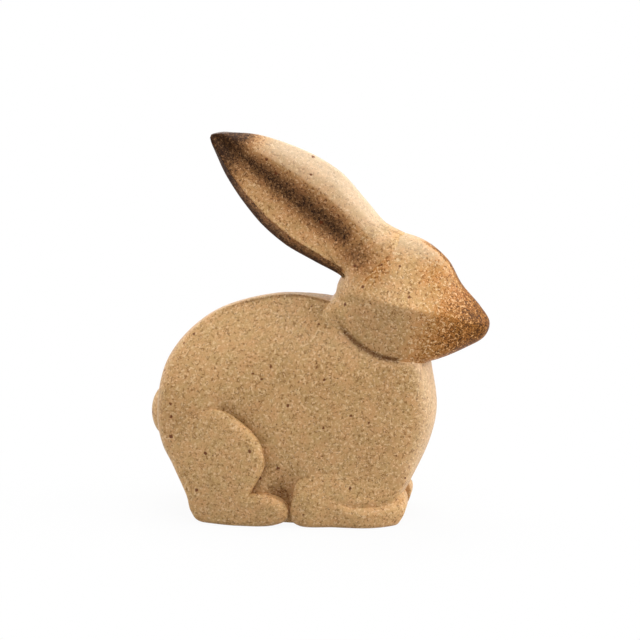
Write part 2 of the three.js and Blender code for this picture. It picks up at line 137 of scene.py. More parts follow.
class Template:
    """A closed smooth outline in the XZ plane, drawn through a few points round a centre."""

    STEPS = 40
    SLANT_SHARES = (0.3, 0.9)

    def __init__(self, centre, points):
        self.centre = np.array(centre) * MM
        knots = np.array(points) * MM - self.centre
        before, after, beyond = (np.roll(knots, shift, axis=0) for shift in (1, -1, -2))
        pairs = ((before, knots), (knots, after), (after, beyond))
        first, span, last = (np.linalg.norm(b - a, axis=1)[:, None] ** 0.5 for a, b in pairs)
        leave = (knots - before) / first - (after - before) / (first + span) + (after - knots) / span
        arrive = (after - knots) / span - (beyond - knots) / (span + last) + (beyond - after) / last
        t = np.linspace(0, 1, self.STEPS, endpoint=False)[:, None, None]
        curve = (2 * t**3 - 3 * t**2 + 1) * knots + (t**3 - 2 * t**2 + t) * span * leave
        curve = curve + (3 * t**2 - 2 * t**3) * after + (t**3 - t**2) * span * arrive
        curve = curve.reshape(-1, 2)
        turns = np.arctan2(curve[:, 1], curve[:, 0])
        order = np.argsort(turns)
        self.turns = turns[order]
        self.reaches = np.hypot(*curve[order].T)
        log_reaches = np.log(np.pad(self.reaches, 1, "wrap"))
        slope = np.gradient(log_reaches, np.unwrap(np.pad(self.turns, 1, "wrap")))
        self.squareness = 1 / np.hypot(1, slope[1:-1])

    def reach(self, turn):
        """Distance from the centre to the edge."""
        return np.interp(turn, self.turns, self.reaches, period=2 * math.pi)

    def inset(self, x, z):
        """How far a place lies inside the edge; less than nothing outside it."""
        away_x, away_z = x - self.centre[0], z - self.centre[1]
        turn, distance = np.arctan2(away_z, away_x), np.hypot(away_x, away_z)
        reach = self.reach(turn)
        slant = 1 - np.interp(turn, self.turns, self.squareness, period=2 * math.pi)
        return (reach - distance) * (1 - slant * fade(distance / reach, *self.SLANT_SHARES))

    def ray(self, turn, share):
        """Places on the line from the centre towards the edge."""
        distance = self.reach(turn) * share
        return self.centre[0] + np.cos(turn) * distance, self.centre[1] + np.sin(turn) * distance


def fade(value, start, end):
    """0 at the start, 1 at the end and smooth between; the start may be the larger."""
    t = np.clip((value - start) / (end - start), 0, 1)
    return t * t * (3 - 2 * t)


def fade_mm(value, start, end):
    """The same for a length, with the start and end in millimetres."""
    return fade(value, start * MM, end * MM)


def region(x, z, along, up):
    """1 in a region of the side view, fading in over a stretch along the figure and one up it."""
    return fade_mm(x, *along) * fade_mm(z, *up)


def band(distance, width):
    """A soft band along a line: 1 on it, and next to nothing two widths away."""
    return np.exp(-((distance / width) ** 2))


def patch(x, z, place, size):
    """A soft oval patch in side view, its place and half sizes in millimetres."""
    off_x, off_z = (x - place[0] * MM) / (size[0] * MM), (z - place[1] * MM) / (size[1] * MM)
    return np.exp(-(off_x**2) - off_z**2)


def blend(start, end, share):
    """The start at a share of 0, the end at 1."""
    return start + (end - start) * share


def lean(value, start, slope):
    """How far a flat has leaned in at a value, from where it starts."""
    return (value - start) * slope


def soft_lowest(softness, *heights):
    """The lowest of several faces, with the edges between them rubbed down."""
    return -softness * np.logaddexp.reduce([-height / softness for height in np.broadcast_arrays(*heights)])


def dome(inset, radius):
    """Half width of the gently rounded face that runs round a block's outline, and steeply on past it."""
    steepness = 4
    inside = np.clip(inset, 0, radius)
    return np.sqrt(inside * (2 * radius - inside)) + (inset - inside) * steepness


def distance_to(path, x, z):
    """Distance in side view from a line through a few points."""
    nearest = np.full(np.shape(x), np.inf)
    points = np.array(path) * MM
    for (x0, z0), (x1, z1) in zip(points[:-1], points[1:]):
        run = np.array((x1 - x0, z1 - z0))
        t = np.clip(((x - x0) * run[0] + (z - z0) * run[1]) / run.dot(run), 0, 1)
        nearest = np.minimum(nearest, np.hypot(x - x0 - t * run[0], z - z0 - t * run[1]))
    return nearest


def points_of(bm):
    """The places of all points of a piece, one a row."""
    return np.array([vert.co for vert in bm.verts])


def move_points(bm, x, y, z):
    """Moves every point of a piece to its new place."""
    for vert, place in zip(bm.verts, np.stack(np.broadcast_arrays(x, y, z), axis=1)):
        vert.co = place


def ball(around, rings):
    """A grid rolled up to a ball whose poles lie on the Y axis, the first pole to the right side."""
    border_from, merge_distance = 0.9999, 1e-6
    bm = bmesh.new()
    bmesh.ops.create_grid(bm, x_segments=around, y_segments=rings, size=1)
    across, up = points_of(bm)[:, :2].T
    turn, polar = across * math.pi, (up + 1) * math.pi / 2
    move_points(bm, np.cos(turn) * np.sin(polar), -np.cos(polar), np.sin(turn) * np.sin(polar))
    on_border = np.maximum(np.abs(across), np.abs(up)) > border_from
    border = [vert for vert, on in zip(bm.verts, on_border) if on]
    bmesh.ops.remove_doubles(bm, verts=border, dist=merge_distance)
    return bm


def turn_and_level(bm):
    """Turn of each point round Y, and its level: 0 at the right pole, 1 at the rim, 2 at the left."""
    x, y, z = points_of(bm).T
    return np.arctan2(z, x).round(5), np.arctan2(np.hypot(x, z), -y) / (math.pi / 2)


def spread(template, face, turn, steps):
    """Places on a face, at even steps along each line from the template's centre to its edge."""
    samples = 360
    share = 1 - (1 - np.linspace(0, 1, samples)) ** 2
    x, y, z = np.zeros((3, len(turn)))
    for angle in np.unique(turn):
        line = turn == angle
        ray_x, ray_z = template.ray(angle, share)
        ray_y = face(ray_x, ray_z)
        lengths = np.hypot(np.hypot(np.diff(ray_x), np.diff(ray_z)), np.diff(ray_y))
        length = np.concatenate(([0], np.cumsum(lengths)))
        wanted = steps[line] * length[-1]
        x[line], y[line], z[line] = (np.interp(wanted, length, ray) for ray in (ray_x, ray_y, ray_z))
    return x, y, z


def carved_block(template, face, around, rings):
    """A block with the same carved face on both sides."""
    bm = ball(around, rings)
    turn, level = turn_and_level(bm)
    x, y, z = spread(template, face, turn, 1 - np.abs(1 - level))
    move_points(bm, x, np.sign(level - 1) * y, z)
    return bm


def cut_flat(bm, height):
    """Saws a piece off level at a height."""
    geometry = bm.verts[:] + bm.edges[:] + bm.faces[:]
    sawn = bmesh.ops.bisect_plane(
        bm, geom=geometry, dist=1e-7, plane_co=(0, 0, height), plane_no=(0, 0, 1), clear_inner=True
    )
    rim = [item for item in sawn["geom_cut"] if isinstance(item, bmesh.types.BMEdge)]
    bmesh.ops.contextual_create(bm, geom=rim)


def put_in_place(name, bm, material, layers, node):
    """Makes the piece an object, paints its layers on its points and seats it on the frame."""
    bmesh.ops.recalc_face_normals(bm, faces=bm.faces)
    mesh = bpy.data.meshes.new(name)
    points = points_of(bm)
    bm.to_mesh(mesh)
    bm.free()
    mesh.polygons.foreach_set("use_smooth", [True] * len(mesh.polygons))
    for layer_name, amount in layers.items():
        layer = mesh.attributes.new(layer_name, "FLOAT", "POINT")
        layer.data.foreach_set("value", np.clip(amount(*points.T), 0, 1).astype(np.float32))
    mesh.materials.append(material)
    piece = bpy.data.objects.new(name, mesh)
    bpy.context.scene.collection.objects.link(piece)
    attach(piece, "root")
    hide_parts(node)


class Socket:
    """A shader socket. Arithmetic on it adds Math nodes, and node() adds any other node beside it."""

    def __init__(self, socket):
        self.socket = socket

    def node(self, kind, settings, values, output=0):
        tree = self.socket.id_data
        made = tree.nodes.new(kind)
        for name, setting in settings.items():
            setattr(made, name, setting)
        for name, value in values.items():
            if isinstance(value, Socket):
                tree.links.new(value.socket, made.inputs[name])
            else:
                made.inputs[name].default_value = value
        return Socket(made.outputs[output])

    def maths(self, operation, first, second, clamp=False):
        settings = {"operation": operation, "use_clamp": clamp}
        return self.node("ShaderNodeMath", settings, {0: first, 1: second})

    def __add__(self, other):
        return self.maths("ADD", self, other)

    def __radd__(self, other):
        return self.maths("ADD", other, self)

    def __sub__(self, other):
        return self.maths("SUBTRACT", self, other)

    def __rsub__(self, other):
        return self.maths("SUBTRACT", other, self)

    def __mul__(self, other):
        return self.maths("MULTIPLY", self, other)

    def __rmul__(self, other):
        return self.maths("MULTIPLY", other, self)

    def clamped(self):
        return self.maths("ADD", self, 0.0, clamp=True)

    def above(self, level, gain):
        """0 up to a level and growing past it by a gain, to 1 at most."""
        return ((self - level) * gain).clamped()

    def below(self, level, gain):
        """0 down to a level and growing under it by a gain, to 1 at most."""
        return ((level - self) * gain).clamped()

    def tinted(self, colour, amount, way="MIX"):
        """This colour, mixed towards or multiplied by another by an amount from 0 to 1."""
        factor, base, tint, result = 0, 6, 7, 2
        values = {factor: amount, base: self, tint: (*colour, 1)}
        return self.node("ShaderNodeMix", {"data_type": "RGBA", "blend_type": way}, values, result)


def millimetres(tree):
    """A piece's own coordinates, in millimetres."""
    metres = Socket(tree.nodes.new("ShaderNodeTexCoord").outputs["Object"])
    return metres.node("ShaderNodeVectorMath", {"operation": "SCALE"}, {0: metres, "Scale": 1 / MM})


def plain_colour(place, colour):
    """A colour for other colours to be laid over."""
    plain = place.node("ShaderNodeRGB", {}, {})
    plain.socket.default_value = (*colour, 1)
    return plain


def noise(place, per_mm, detail):
    """Cloudy noise about 0.5, so many waves to a millimetre."""
    values = {"Vector": place, "Scale": per_mm, "Detail": detail, "Roughness": 0.55}
    return place.node("ShaderNodeTexNoise", {"noise_dimensions": "3D"}, values)


def wobbled(place, per_mm, reach):
    """Places moved to and fro by a noise, so that what is drawn on them is irregular."""
    values = {"Vector": place, "Scale": per_mm, "Detail": 1.0}
    shift = place.node("ShaderNodeTexNoise", {"noise_dimensions": "3D"}, values, "Color")
    settings = {"operation": "MULTIPLY_ADD"}
    return place.node("ShaderNodeVectorMath", settings, {0: shift, 1: (2 * reach,) * 3, 2: place})


def moved(place, offset):
    """Places moved aside, so that two patterns of one kind differ."""
    return place.node("ShaderNodeVectorMath", {"operation": "ADD"}, {0: place, 1: offset})


def specks(place, per_mm, offset, radius, share, softness):
    """Specks of random size in a share of the cells of a 3-D scatter, as a mask."""
    values = {"Vector": moved(place, offset), "Scale": per_mm}
    distance = place.node("ShaderNodeTexVoronoi", {"feature": "F1"}, values, "Distance")
    lot = place.node("ShaderNodeTexVoronoi", {"feature": "F1"}, values, "Color")
    chance = place.node("ShaderNodeSeparateColor", {}, {"Color": lot}, "Red")
    size = (chance - (1 - share)) * (radius / share)
    return ((size - distance) * (1 / softness)).clamped()


def strokes(place, per_mm, offset, width):
    """Short curved fibres, as a mask: stretches of the middle level of one noise, chosen by another."""
    middle, coarser = 0.5, 0.7
    shifted = moved(place, offset)
    level = noise(shifted, per_mm, detail=0) - middle
    chosen = noise(shifted, per_mm * coarser, detail=0).above(0.53, 8)
    return (1 - level * level * (1 / width**2)).clamped() * chosen


def speckled_wood(name, stains):
    """Tan wood of fibres and specks, with stain, painted highlight, and painted shade with some grime where
    its layers say.
    """
    material = bpy.data.materials.new(name)
    material.use_nodes = True
    tree = material.node_tree
    place = millimetres(tree)
    stain, grime_and_shade, painted_highlight = (
        place.node("ShaderNodeAttribute", {"attribute_name": layer}, {}, "Fac")
        for layer in ("stain", "grime_and_shade", "painted_highlight")
    )
    hue = noise(place, per_mm=0.25, detail=2)
    tone = noise(place, per_mm=0.7, detail=2)
    broad = noise(place, per_mm=0.06, detail=1)
    grit = noise(place, per_mm=2.9, detail=1)
    crowd = 0.3 + noise(place, per_mm=0.09, detail=1).above(0.4, 4) * 0.5
    pale_fibres = strokes(place, **PALE_FIBRES)
    dark_fibres = strokes(place, **DARK_FIBRES)
    uneven_place = wobbled(place, per_mm=1.8, reach=0.42)
    dark_specks = specks(uneven_place, **DARK_SPECKS) * crowd
    large_specks = specks(uneven_place, **LARGE_SPECKS)

    shade = (0.52 - tone) * 1.4 + (0.5 - hue) * 0.5 + (0.5 - broad) * 0.7
    wood = plain_colour(place, OLIVE_TAN)
    wood = wood.tinted(WARM_TAN, hue.above(1 / 3, 3))
    wood = wood.tinted(DARK_FIBRE, shade.clamped())
    wood = wood.tinted(PALE_FIBRE, grit.above(0.52, 3) * 0.4)
    wood = wood.tinted(DARK_FIBRE, grit.below(0.48, 3) * 0.45)
    wood = wood.tinted(PALE_FIBRE, pale_fibres * 0.55)
    wood = wood.tinted(DARK_FIBRE, dark_fibres * 0.8)
    # Painted highlight: pale colour laid where the highlight layer says.
    wood = wood.tinted(HIGHLIGHT_PALE, painted_highlight)

    glaze, deep, black, mottle = stains
    uneven = (tone - 0.5) * 0.6 + (grit - 0.5) * 1.3 + (dark_fibres - pale_fibres) * 0.3
    patchy_stain = stain + stain * (1.12 - stain) * uneven * mottle
    patchy_grime_and_shade = grime_and_shade + grime_and_shade * (1.1 - grime_and_shade) * uneven * 3
    colour = wood.tinted(glaze, (patchy_stain * 2).clamped(), "MULTIPLY")
    colour = colour.tinted(deep, patchy_stain.above(0.35, 1.7))
    colour = colour.tinted(black, patchy_stain.above(0.82, 5))
    # Painted shade, and grime in the cheek crease: dark brown laid where the shade layer says.
    colour = colour.tinted(SHADE_AND_GRIME_BROWN, patchy_grime_and_shade.clamped() * 0.95)
    colour = colour.tinted(SPECK_BROWN, dark_specks)
    colour = colour.tinted(SPECK_RED, large_specks * 0.9)

    roughness = 0.52 + (grit - 0.5) * 0.3 - stain * 0.1
    gloss = 0.35 * (1 - stain) * (1 - grime_and_shade)
    height = grit * 0.6 + pale_fibres * 0.5 - dark_fibres * 0.4 - large_specks * 0.8 - dark_specks * 0.5
    bump = place.node("ShaderNodeBump", {}, {"Strength": 0.4, "Distance": 0.12 * MM, "Height": height})
    shader = tree.nodes["Principled BSDF"]
    finish = {"Base Color": colour, "Roughness": roughness, "Coat Weight": gloss, "Normal": bump}
    for input_name, value in finish.items():
        tree.links.new(value.socket, shader.inputs[input_name])
    shader.inputs["Specular IOR Level"].default_value = 0.05
    shader.inputs["Coat Roughness"].default_value = 0.45
    return material


body_template = Template(BODY_CENTRE, BODY_TEMPLATE)


def body_flats(x, z):
    """Half width of the flats that the sides are carved in, before the outline cuts them off."""
    neck = NECK_SWELL * region(x, z, *NECK_REGION)
    shoulder = BODY_HALF_WIDTH - SHOULDER_STEP - lean(z, *SHOULDER_FLAT)
    narrowing = np.maximum(lean(x, *BACK_NARROWING), 0)
    return soft_lowest(
        BODY_FLATS_BLEND,
        BODY_HALF_WIDTH,
        BODY_HALF_WIDTH - lean(z, *UPPER_SIDE_FLAT),
        shoulder - narrowing + neck,
        BODY_HALF_WIDTH - lean(x, *CHEST_FLAT),
        BODY_HALF_WIDTH - lean(x, *RUMP_FLAT),
        BODY_HALF_WIDTH - lean(z, *UNDER_FLAT),
    )


def body_form(x, z):
    """Half width of the plain body block at a place in side view."""
    rounder = np.maximum(region(x, z, *CHEST_REGION), RUMP_EDGE_SHARE * region(x, z, *RUMP_REGION))
    edge = blend(BODY_EDGE, CHEST_EDGE, rounder)
    return soft_lowest(edge, body_flats(x, z), dome(body_template.inset(x, z), BODY_DOME))


def cheek_crease(x, z):
    """Depth of the crease cut where the head meets the shoulder."""
    return CHEEK_CREASE_DEPTH * band(distance_to(CHEEK_CREASE, x, z), CHEEK_CREASE_WIDTH)


def body_face(x, z):
    """Half width of the body with its creases and pocket cut, shallower where the body is thin."""
    haunch = HAUNCH_CREASE_DEPTH * band(distance_to(HAUNCH_CREASE, x, z), HAUNCH_CREASE_WIDTH)
    pocket = POCKET_DEPTH * patch(x, z, POCKET_PLACE, POCKET_SIZE)
    form = body_form(x, z)
    return form - (cheek_crease(x, z) + haunch + pocket) * fade_mm(form, *CUT_HALF_WIDTHS)


def cheek_grime_and_shade(x, z, width):
    """Dark colour in the crease under the cheek, on either of its sides: grime in the joint, and painted
    shade.
    """
    return CHEEK_GRIME_AND_SHADE * band(distance_to(CHEEK_CREASE, x, z), width) * fade_mm(x, *CHEEK_GRIME_AND_SHADE_START)


def body_shade_and_grime(x, y, z):
    """Painted shade in creases, pocket, nape, back strip and middle; grime in the cheek crease; dark back
    line.
    """
    cheek = cheek_grime_and_shade(x, z, CHEEK_GRIME_AND_SHADE_WIDTH)
    haunch = HAUNCH_CREASE_SHADE * band(distance_to(HAUNCH_CREASE, x, z), HAUNCH_CREASE_SHADE_WIDTH)
    pocket = POCKET_SHADE * patch(x, z, POCKET_PLACE, POCKET_SHADE_SIZE)
    below_edge = body_template.inset(x, z) - body_flats(x, z) ** 2 / (2 * BODY_DOME)
    line = BACK_LINE_DARK * band(below_edge - BACK_LINE_DROP, BACK_LINE_WIDTH)
    strip = BACK_STRIP_SHADE * fade_mm(below_edge, *BACK_STRIP_DEPTHS)
    back = np.maximum(line * fade_mm(x, *BACK_LINE_START), strip)
    back = back * fade_mm(x - z, *BACK_DARK_SLANT) * fade_mm(z, *BACK_DARK_HEIGHTS)
    nape = NAPE_SHADE * patch(x, z, NAPE_PLACE, NAPE_SIZE)
    # Painted shade over the middle of the sides.
    middle_shade = MIDDLE_SHADE * fade_mm(z, *MIDDLE_SHADE_HEIGHTS)
    return np.max((cheek, haunch, pocket, back, nape, middle_shade), axis=0)


def body_highlight(x, y, z):
    """Painted highlight along the edge of the chest."""
    edge = fade_mm(body_template.inset(x, z), *CHEST_HIGHLIGHT_DEPTHS)
    return CHEST_HIGHLIGHT * edge * region(x, z, *CHEST_HIGHLIGHT_REGION)


tan_wood = speckled_wood("speckled_tan_wood", NO_STAIN)
body = carved_block(body_template, body_face, *BODY_GRID)
cut_flat(body, BELLY_HEIGHT)
body_layers = {"grime_and_shade": body_shade_and_grime, "painted_highlight": body_highlight}
put_in_place("body_block", body, tan_wood, body_layers, "body")

# Head: a second block of the same wood, glued into a cup in the shoulders on a thick dowel.
# Its cheeks are cut in two flats that meet on a ridge falling to the nose, and the nose is stained.
HEAD_GRID = (320, 144)
HEAD_CENTRE = (25, 69.08)
HEAD_TEMPLATE = (
    (4.9, 69.6), (5.8, 73), (8.6, 78), (14, 85.4), (22, 88.8), (31.6, 86.8), (39.4, 80.8), (43.8, 73.3),
    (49.7, 66.4), (52.5, 61.6), (51.1, 57.4), (45.4, 53.8), (36, 50), (26, 48.6), (14, 52.2), (6, 57.4),
    (1, 63), (2.4, 66.8),
)
HEAD_HALF_WIDTH = 18.6 * MM
NOSE_TAPER = (21 * MM, 0.36)
NAPE_TAPER = (22 * MM, -0.55)
HEAD_TAPER_BLEND = 2 * MM
CHEEK_RIDGE = (22 * MM, 69.8 * MM)
CHEEK_FALL = 0.24
LEAN_ABOVE_RIDGE = 0.58
LEAN_BELOW_RIDGE = 0.16
HEAD_FLATS_BLEND = 0.4 * MM
RIDGE_BEAD = 0.4 * MM
RIDGE_BEAD_WIDTH = 1.3 * MM
RIDGE_BEAD_STRETCH = ((17, 22), (38, 30))
JOWL_DOME = 40 * MM
CROWN_DOME = 19 * MM
CROWN_DOME_START = (60, 68)
NOSE_DOME = 8 * MM
NOSE_DOME_START = (30, 50)
HEAD_EDGE = 1.4 * MM
SEAM_FLUSH = 2.4 * MM
SEAM_CRISP = 0.25 * MM
SEAM_CRISP_START = (64, 58)
SEAM_FOLLOW = 0.9
SEAM_HALF_WIDTHS = (2, 6)

NOSE_STAIN_STRENGTH = 0.86
NOSE_STAIN_HEIGHT = 62 * MM
NOSE_STAIN_SLANT = 0.4
NOSE_STAIN_START = (24, 51)
RIM_STAIN = 0.8
RIM_STAIN_WIDTH = 0.4 * MM
RIM_STAIN_START = (29, 36)
EAR_JOIN_STAIN = 0.6
EAR_JOIN_PLACE = (16, 81)
EAR_JOIN_SIZE = (6, 5)
FOREHEAD_STAIN = 0.3
FOREHEAD_PLACE = (36.5, 77)
FOREHEAD_SIZE = (6, 6)
# Painted highlight: pale colour along the edge of the crown.
CROWN_HIGHLIGHT = 0.3
CROWN_HIGHLIGHT_DEPTHS = (7, 1)
CROWN_HIGHLIGHT_HEIGHTS = (77, 83)
CROWN_HIGHLIGHT_STRETCH = ((18, 24), (42, 36))
# Painted shade: the jowl below the cheek ridge darkened thinly.
JOWL_SHADE = 0.13
JOWL_SHADE_HEIGHTS = (0, -2)
JOWL_SHADE_STRETCH = ((8, 14), (40, 34))
HEAD_GRIME_AND_SHADE_WIDTH = 0.85 * MM
NOSE_STAIN = ((0.86, 0.58, 0.3), (0.16, 0.06, 0.011), (0.07, 0.025, 0.006), 5)
head_template = Template(HEAD_CENTRE, HEAD_TEMPLATE)


def stretch(value, start, end):
    """1 over a stretch of a piece, fading in at its start and out at its end."""
    return fade_mm(value, *start) * fade_mm(value, *end)


def above_ridge(x, z):
    """Height over the cheek ridge."""
    return z - CHEEK_RIDGE[1] + (x - CHEEK_RIDGE[0]) * CHEEK_FALL


def head_form(x, z):
    """Half width of the head: it tapers to nose and nape, and leans in above and below the cheek ridge."""
    taper = soft_lowest(
        HEAD_TAPER_BLEND,
        HEAD_HALF_WIDTH,
        HEAD_HALF_WIDTH - lean(x, *NOSE_TAPER),
        HEAD_HALF_WIDTH - lean(x, *NAPE_TAPER),
    )
    above = above_ridge(x, z)
    upper_flat, lower_flat = taper - above * LEAN_ABOVE_RIDGE, taper + above * LEAN_BELOW_RIDGE
    flats = soft_lowest(HEAD_FLATS_BLEND, upper_flat, lower_flat)
    bead = RIDGE_BEAD * band(above, RIDGE_BEAD_WIDTH) * stretch(x, *RIDGE_BEAD_STRETCH)
    bend = blend(JOWL_DOME, CROWN_DOME, fade_mm(z, *CROWN_DOME_START))
    bend = blend(bend, NOSE_DOME, fade_mm(x, *NOSE_DOME_START))
    return soft_lowest(HEAD_EDGE, flats + bead, dome(head_template.inset(x, z), bend))


def head_face(x, z):
    """Half width of the head, filleted to the body at the nape and throat and crisp under the cheek."""
    form, below = head_form(x, z) - cheek_crease(x, z), body_face(x, z)
    softness = blend(SEAM_FLUSH, SEAM_CRISP, fade_mm(z, *SEAM_CRISP_START))
    fillet = softness * np.log1p(np.exp(-np.abs(form - below) / softness))
    lifted = np.maximum(below - form, 0) * SEAM_FOLLOW
    return form + (fillet + lifted) * fade_mm(form, *SEAM_HALF_WIDTHS)


def head_stain(x, y, z):
    """Stain that deepens to the nose, along its rim, where the ears join and on the forehead."""
    slanted = x + (NOSE_STAIN_HEIGHT - z) * NOSE_STAIN_SLANT
    nose = NOSE_STAIN_STRENGTH * fade_mm(slanted, *NOSE_STAIN_START)
    rim = RIM_STAIN * band(head_template.inset(x, z), RIM_STAIN_WIDTH) * fade_mm(x, *RIM_STAIN_START)
    join = EAR_JOIN_STAIN * patch(x, z, EAR_JOIN_PLACE, EAR_JOIN_SIZE)
    forehead = FOREHEAD_STAIN * patch(x, z, FOREHEAD_PLACE, FOREHEAD_SIZE)
    return np.max((nose, rim, join, forehead), axis=0)


def head_highlight(x, y, z):
    """Painted highlight along the edge of the crown."""
    crown = fade_mm(z, *CROWN_HIGHLIGHT_HEIGHTS) * stretch(x, *CROWN_HIGHLIGHT_STRETCH)
    return CROWN_HIGHLIGHT * fade_mm(head_template.inset(x, z), *CROWN_HIGHLIGHT_DEPTHS) * crown


def head_shade_and_grime(x, y, z):
    """Grime and painted shade in the crease under the cheek, and painted shade thinly over the jowl."""
    cheek = cheek_grime_and_shade(x, z, HEAD_GRIME_AND_SHADE_WIDTH)
    jowl = fade_mm(above_ridge(x, z), *JOWL_SHADE_HEIGHTS) * stretch(x, *JOWL_SHADE_STRETCH)
    return np.maximum(cheek, JOWL_SHADE * jowl)


nose_wood = speckled_wood("nose_stained_wood", NOSE_STAIN)
head = carved_block(head_template, head_face, *HEAD_GRID)
head_layers = {"stain": head_stain, "grime_and_shade": head_shade_and_grime, "painted_highlight": head_highlight}
put_in_place("head_block", head, nose_wood, head_layers, "head")

# Ears: two leaves laid back side by side, each gouged hollow between an upper and a lower rim.
# Their tips, lower edges and hollows are stained nearly black, and their roots run into the crown.
# Stations are places along an ear with its half widths below and above its middle line.
EAR_GRID = (256, 128)
EAR_ROOT = (13.8, 83)
EAR_RISE = math.radians(37)
EAR_LENGTH = 58.2
EAR_STATIONS = (
    (-9, 11.4, 11.6), (0, 10.1, 10.6), (10, 11.9, 12.4), (20, 13.5, 14.1), (30, 13.1, 13.2),
    (40, 10.7, 10.6), (48, 7.7, 7.5), (54, 4.5, 3.7),
)
EAR_TIP = ((57.5, -2.4), (58.8, -0.8), (57.6, 0.8))
EAR_END = (EAR_LENGTH, 2.4, 2.4)
EAR_BOW = 0.5
EAR_CENTRE_PLACE = 24
EAR_HALF_PARTING = 0.06 * MM
EAR_RIM = ((-9, 6.6), (0, 7.2), (26, 7.4), (50, 4.6), (EAR_LENGTH, 2.4))
EAR_EDGE = 0.5 * MM
EAR_ROOT_BLEND = 2.2 * MM
EAR_ROOT_SINK = 1.2 * MM
EAR_ROOT_SINK_START = (-4, -8.5)
EAR_TUCK = 0.5 * MM
EAR_TUCK_DEPTHS = (4, 0.4)
EAR_TUCK_START = (9, 2)
EAR_TUCK_HALF_WIDTHS = (1, 4)

# Ridges and groove: place across as a share of the half width, and height as a share of the rim.
EAR_RIDGES = {
    "lower edge": (-1, 0.45),
    "lower": (-0.68, 1),
    "groove": (0, 0.42),
    "upper": (0.5, 0.97),
    "facet": (0.8, 0.7),
    "upper edge": (1, 0.3),
}
EAR_LEAST_HEIGHT = 0.2
UNGOUGED_HEIGHT = 0.95
UNGOUGED_SLOPE = 0.04
GOUGE_START = (3, 14)
GROOVE_SOFTNESS = 0.07
LOWER_RIDGE_SOFTNESS = 0.02
UPPER_RIDGE_SOFTNESS = 0.05
FACET_SOFTNESS = 0.03

# Stains and painted highlights: starts and stretches along an ear are lengths, limits across it are shares.
TIP_STAIN = 0.93
TIP_STAIN_START = (34, 53)
TIP_CLEARED = 0.9
TIP_CLEARED_START = (51, 42)
TIP_CLEARED_ACROSS = (0.1, 0.6)
GROOVE_STAIN = 0.86
GROOVE_STAIN_START = (0, 8)
GROOVE_STAIN_LINE = 0.03
GROOVE_STAIN_ABOVE = 0.44
GROOVE_STAIN_BELOW = 0.36
BEVEL_STAIN = 0.72
BEVEL_STAIN_START = (0, 3)
BEVEL_ACROSS = (-0.66, -0.72)
BEVEL_EDGE_STAIN = 0.2
BEVEL_EDGE_ACROSS = (-0.76, -0.92)
BEVEL_END_STAIN = 0.95
BEVEL_ENDS = ((9, 1), (32, 46))
WARM_STAIN = 0.22
WARM_STAIN_START = (0, 12)
WARM_FROM_ACROSS = (0.05, -0.2)
WARM_TO_ACROSS = (-0.66, -0.56)
ROOT_STAIN = 0.68
ROOT_STAIN_ALONG = 1 * MM
ROOT_STAIN_LENGTH = 8 * MM
ROOT_STAIN_ACROSS = -0.1
ROOT_STAIN_WIDTH = 0.5
# Painted highlight: pale colour on the facets over the upper ridge.
FACET_HIGHLIGHT = 0.25
FACETS_ACROSS = ((0.48, 0.56), (0.6, 1))
EAR_HIGHLIGHT_STRETCH = ((-8, 6), (50, 38))
EAR_STAIN = ((0.8, 0.63, 0.52), (0.07, 0.031, 0.013), (0.03, 0.012, 0.005), 2.2)
SIDES = {"right": 1, "left": -1}


def soft_highest(softness, *heights):
    """The highest of several faces, with a hollow fillet between them."""
    return softness * np.logaddexp.reduce([height / softness for height in np.broadcast_arrays(*heights)])


def rise(share):
    """Quarter-round step: 0 at the edge, 1 from one radius inwards."""
    return np.sqrt(1 - (1 - np.clip(share, 0, 1)) ** 2)


def ear_to_side(along, across):
    """Side-view place, in millimetres, of a place on an ear."""
    bow = EAR_BOW * math.sin(math.pi * min(max(along, 0), EAR_LENGTH) / EAR_LENGTH)
    forward = EAR_ROOT[0] - along * math.cos(EAR_RISE) + (across + bow) * math.sin(EAR_RISE)
    up = EAR_ROOT[1] + along * math.sin(EAR_RISE) + (across + bow) * math.cos(EAR_RISE)
    return forward, up


ear_outline = [ear_to_side(along, -lower) for along, lower, upper in EAR_STATIONS]
ear_outline += [ear_to_side(along, across) for along, across in EAR_TIP]
ear_outline += [ear_to_side(along, upper) for along, lower, upper in reversed(EAR_STATIONS)]
ear_template = Template(ear_to_side(EAR_CENTRE_PLACE, 0), ear_outline)


def ear_places(x, z):
    """Place along an ear in metres, and place across it as a share of its half width, upwards."""
    away_x, away_z = x - EAR_ROOT[0] * MM, z - EAR_ROOT[1] * MM
    along = away_z * math.sin(EAR_RISE) - away_x * math.cos(EAR_RISE)
    across = away_x * math.sin(EAR_RISE) + away_z * math.cos(EAR_RISE)
    stations, lower, upper = np.array((*EAR_STATIONS, EAR_END)).T * MM
    half_width = np.where(across < 0, np.interp(along, stations, lower), np.interp(along, stations, upper))
    return along, across / half_width


def ear_slope(across, first, second):
    """Height on the flat between two of the ear's ridges, as a share of the rim."""
    (first_across, first_height), (second_across, second_height) = EAR_RIDGES[first], EAR_RIDGES[second]
    slope = (second_height - first_height) / (second_across - first_across)
    return first_height + lean(across, first_across, slope)


def ear_form(x, z):
    """Height of an ear's outer face over the plane between the ears."""
    along, across = ear_places(x, z)
    rim = np.interp(along, *(np.array(EAR_RIM).T * MM))
    below_groove, above_groove = ear_slope(across, "lower", "groove"), ear_slope(across, "groove", "upper")
    hollow = soft_highest(GROOVE_SOFTNESS, below_groove, above_groove)
    ungouged = UNGOUGED_HEIGHT + UNGOUGED_SLOPE * across
    inner = blend(ungouged, hollow, fade_mm(along, *GOUGE_START))
    lower = soft_lowest(LOWER_RIDGE_SOFTNESS, inner, ear_slope(across, "lower edge", "lower"))
    upper = soft_lowest(UPPER_RIDGE_SOFTNESS, lower, ear_slope(across, "upper", "facet"))
    whole = soft_lowest(FACET_SOFTNESS, upper, ear_slope(across, "facet", "upper edge"))
    return EAR_HALF_PARTING + rim * np.maximum(whole, EAR_LEAST_HEIGHT)


